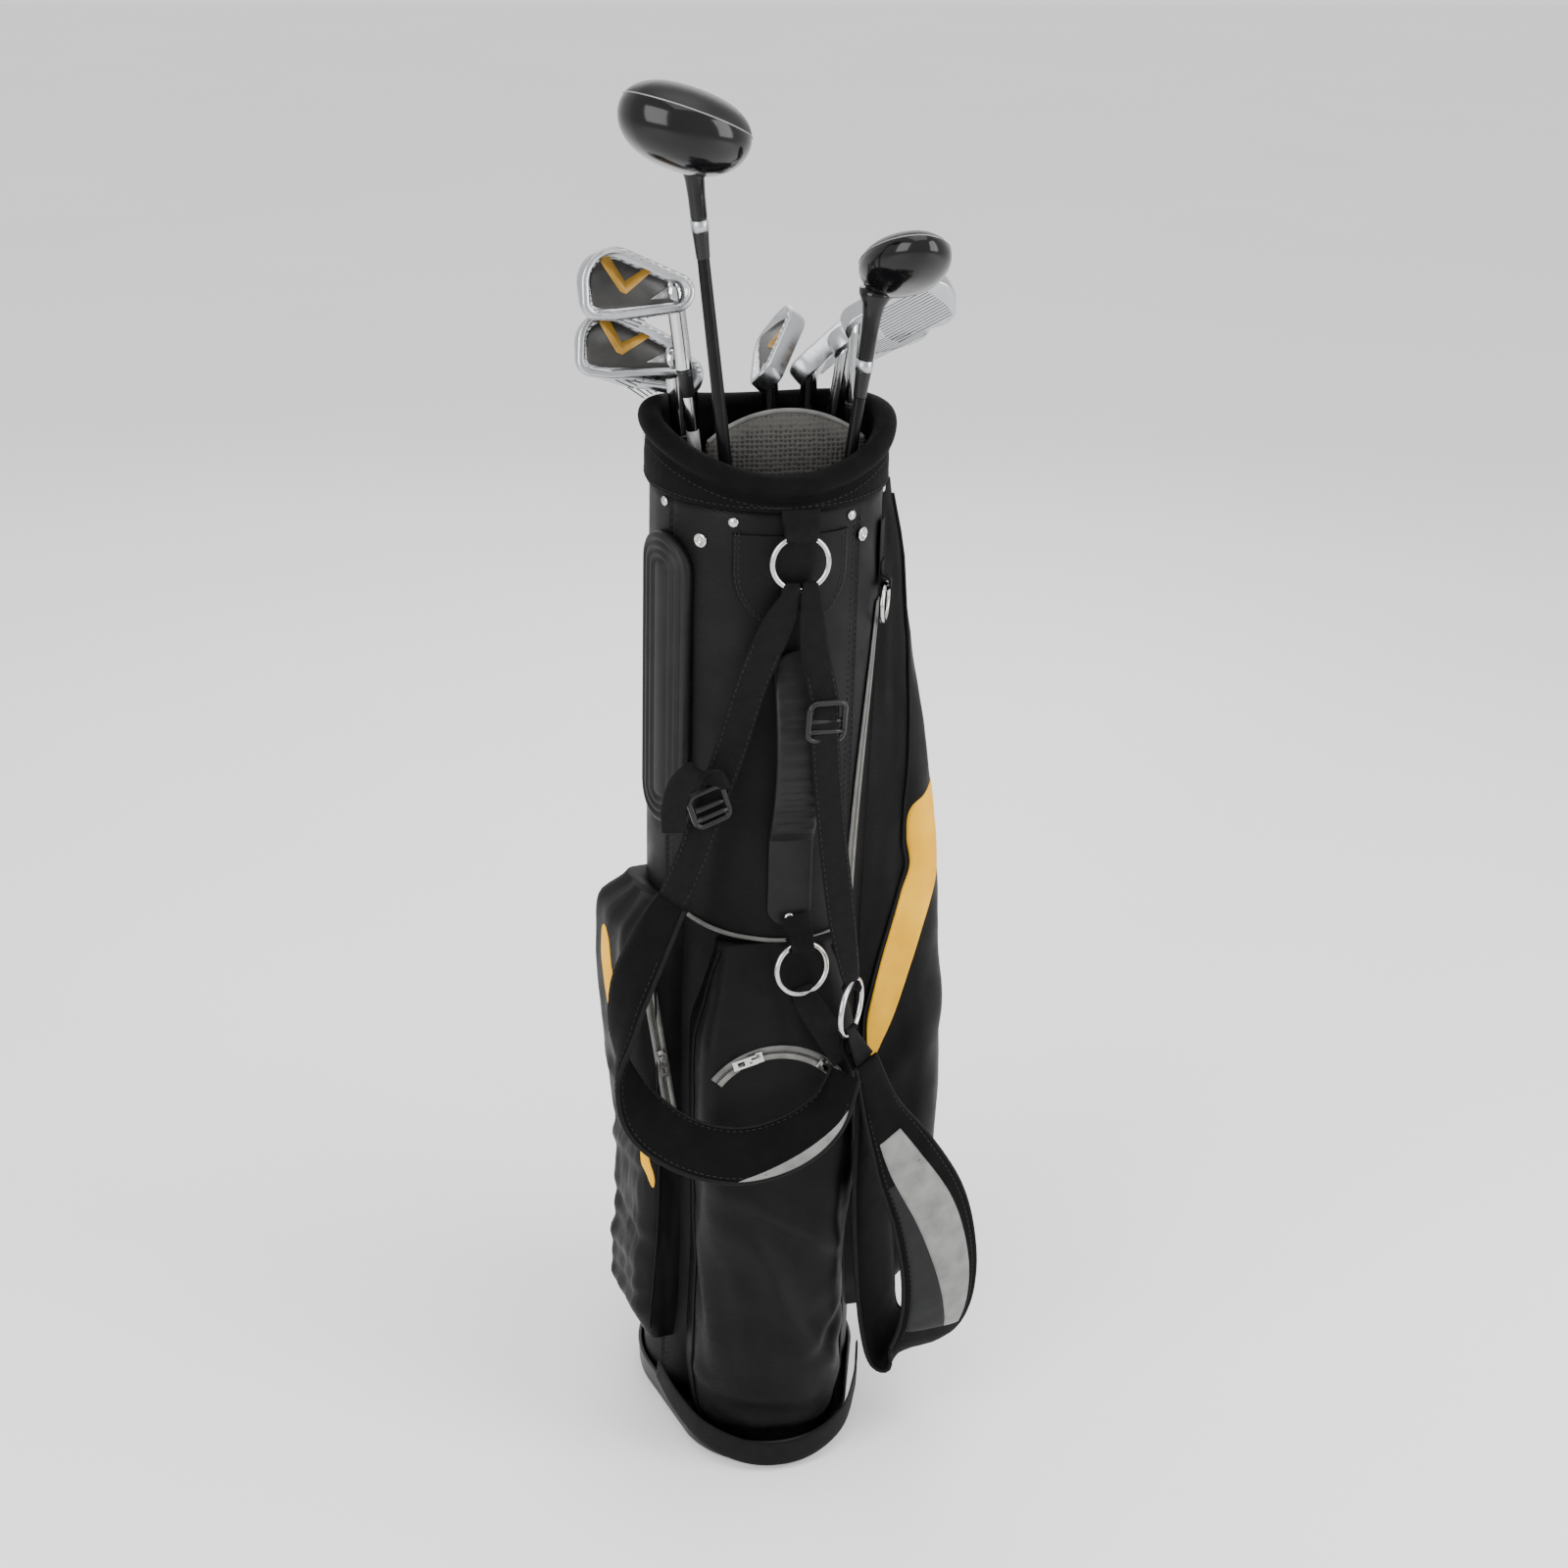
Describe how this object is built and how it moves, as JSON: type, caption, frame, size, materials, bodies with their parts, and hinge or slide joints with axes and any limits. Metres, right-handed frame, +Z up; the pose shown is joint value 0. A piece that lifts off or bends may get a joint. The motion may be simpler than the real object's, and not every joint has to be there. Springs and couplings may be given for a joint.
{
  "type": "golf club set in a stand bag",
  "caption": "Black stand bag with shoulder straps, pockets and folding legs, holding golf clubs that slide out one by one.",
  "frame": {"origin": "centre of the bag's round base, on its underside", "axes": "+Z up along the bag, the strap side faces -Y, the left pocket is at -X"},
  "size_m": [0.3302, 0.3427, 1.1839],
  "materials": {
    "bag_cloth": "coarse weave, matt",
    "cuff_cloth": "smooth padded roll",
    "boot_plastic": "fine grain",
    "air_mesh": "open spacer mesh",
    "webbing": "ribbed weave",
    "ring_steel": "polished",
    "handle_rubber": "ribbed, matt",
    "hip_pad": "moulded foam, satin",
    "zip_tape": "fine weave",
    "buckle_plastic": "satin",
    "dark_pad": "padded cloth",
    "silver_pad": "smooth metallic cloth",
    "bracket_plastic": "fine grain",
    "leg_tube": "satin",
    "zip_metal": "polished",
    "wood_head": "gloss crown, matt sole",
    "iron_head": "satin",
    "graphite_shaft": "gloss",
    "steel_shaft": "polished",
    "grip_rubber": "matt"
  },
  "bodies": {
    "bag": {"tube": "bag_cloth", "cuff": "cuff_cloth", "boot": "boot_plastic", "mesh_divider": "air_mesh", "rear_divider": "webbing", "ring_patch": "bag_cloth", "top_ring": "ring_steel", "carry_handle": "handle_rubber", "middle_ring": "ring_steel", "side_pad": "hip_pad", "left_pocket": "bag_cloth", "right_pocket": "bag_cloth", "ball_pocket": "bag_cloth", "zippers": "zip_tape", "left_strap": "webbing", "right_strap": "webbing", "buckles": "buckle_plastic", "left_pad": "dark_pad", "right_pad": "silver_pad", "strap_ring": "ring_steel", "lift_handle": "webbing", "towel_loop": "webbing", "rivets": "ring_steel", "leg_bracket": "bracket_plastic"},
    "towel_ring": {"towel_ring": "ring_steel"},
    "left_leg": {"left_leg": "leg_tube"},
    "right_leg": {"right_leg": "leg_tube"},
    "ball_slider_left": {"ball_slider_left": "zip_metal"},
    "ball_slider_right": {"ball_slider_right": "zip_metal"},
    "side_slider": {"side_slider": "zip_metal"},
    "ball_pull_left": {"ball_pull_left": "zip_metal"},
    "ball_pull_right": {"ball_pull_right": "zip_metal"},
    "side_pull": {"side_pull": "zip_metal"},
    "driver": {"driver_head": "wood_head", "driver_shaft": "graphite_shaft", "driver_grip": "grip_rubber"},
    "hybrid": {"hybrid_head": "wood_head", "hybrid_shaft": "graphite_shaft", "hybrid_grip": "grip_rubber"},
    "iron_5": {"iron_5_head": "iron_head", "iron_5_shaft": "steel_shaft", "iron_5_grip": "grip_rubber"},
    "iron_6": {"iron_6_head": "iron_head", "iron_6_shaft": "steel_shaft", "iron_6_grip": "grip_rubber"},
    "iron_7": {"iron_7_head": "iron_head", "iron_7_shaft": "steel_shaft", "iron_7_grip": "grip_rubber"},
    "iron_8": {"iron_8_head": "iron_head", "iron_8_shaft": "steel_shaft", "iron_8_grip": "grip_rubber"},
    "iron_9": {"iron_9_head": "iron_head", "iron_9_shaft": "steel_shaft", "iron_9_grip": "grip_rubber"},
    "pitching_wedge": {"pitching_wedge_head": "iron_head", "pitching_wedge_shaft": "steel_shaft", "pitching_wedge_grip": "grip_rubber"},
    "sand_wedge": {"sand_wedge_head": "iron_head", "sand_wedge_shaft": "steel_shaft", "sand_wedge_grip": "grip_rubber"}
  },
  "joints": [
    {"name": "driver_lift", "type": "slide", "parent": "bag", "child": "driver", "axis": [-0.13, -0.0559, 0.9899], "range_m": [0, 0.6]},
    {"name": "hybrid_lift", "type": "slide", "parent": "bag", "child": "hybrid", "axis": [0.1156, 0.0103, 0.9932], "range_m": [0, 0.6]},
    {"name": "iron_5_lift", "type": "slide", "parent": "bag", "child": "iron_5", "axis": [-0.1446, -0.0467, 0.9884], "range_m": [0, 0.6]},
    {"name": "iron_6_lift", "type": "slide", "parent": "bag", "child": "iron_6", "axis": [-0.1054, 0.0298, 0.994], "range_m": [0, 0.4]},
    {"name": "iron_7_lift", "type": "slide", "parent": "bag", "child": "iron_7", "axis": [-0.0609, -0.0218, 0.9979], "range_m": [0, 0.6]},
    {"name": "iron_8_lift", "type": "slide", "parent": "bag", "child": "iron_8", "axis": [0.0505, 0.0769, 0.9958], "range_m": [0, 0.6]},
    {"name": "iron_9_lift", "type": "slide", "parent": "bag", "child": "iron_9", "axis": [0.1448, 0.0148, 0.9894], "range_m": [0, 0.6]},
    {"name": "pitching_wedge_lift", "type": "slide", "parent": "bag", "child": "pitching_wedge", "axis": [0.015, -0.0058, 0.9999], "range_m": [0, 0.4]},
    {"name": "sand_wedge_lift", "type": "slide", "parent": "bag", "child": "sand_wedge", "axis": [-0.0069, 0.046, 0.9989], "range_m": [0, 0.6]},
    {"name": "towel_ring_swing", "type": "hinge", "parent": "bag", "child": "towel_ring", "pos_m": [0.09272, -0.03746, 0.773], "axis": [-0.3746, -0.9272, 0], "range_deg": [0, 80]},
    {"name": "left_leg_swing", "type": "hinge", "parent": "bag", "child": "left_leg", "pos_m": [-0.026, 0.111, 0.8], "axis": [0.9272, 0.3746, 0], "range_deg": [0, 28]},
    {"name": "right_leg_swing", "type": "hinge", "parent": "bag", "child": "right_leg", "pos_m": [0.026, 0.111, 0.8], "axis": [0.9272, -0.3746, 0], "range_deg": [0, 28]},
    {"name": "ball_zip_left_travel", "type": "hinge", "parent": "bag", "child": "ball_slider_left", "pos_m": [-0.004, -0.13771, 0.334], "axis": [0, -0.9899, 0.1414], "range_deg": [-20, 22]},
    {"name": "ball_zip_right_travel", "type": "hinge", "parent": "bag", "child": "ball_slider_right", "pos_m": [-0.004, -0.13771, 0.334], "axis": [0, -0.9899, 0.1414], "range_deg": [-4, 20]},
    {"name": "side_zip_travel", "type": "slide", "parent": "bag", "child": "side_slider", "axis": [-0.1589, -0.028, 0.9869], "range_m": [-0.05, 0.11]},
    {"name": "ball_pull_left_flip", "type": "hinge", "parent": "ball_slider_left", "child": "ball_pull_left", "pos_m": [-0.02219, -0.13498, 0.3977], "axis": [-0.2756, 0.1359, 0.9516], "range_deg": [0, 90]},
    {"name": "ball_pull_right_flip", "type": "hinge", "parent": "ball_slider_right", "child": "ball_pull_right", "pos_m": [0.03572, -0.1365, 0.38707], "axis": [-0.6018, -0.1129, -0.7906], "range_deg": [0, 50]},
    {"name": "side_pull_flip", "type": "hinge", "parent": "side_slider", "child": "side_pull", "pos_m": [-0.08998, -0.06897, 0.36698], "axis": [-0.9719, -0.1714, -0.1614], "range_deg": [0, 90]}
  ],
  "couplings": [
    {"joint": "right_leg_swing", "follows": "left_leg_swing", "ratio": 1}
  ]
}
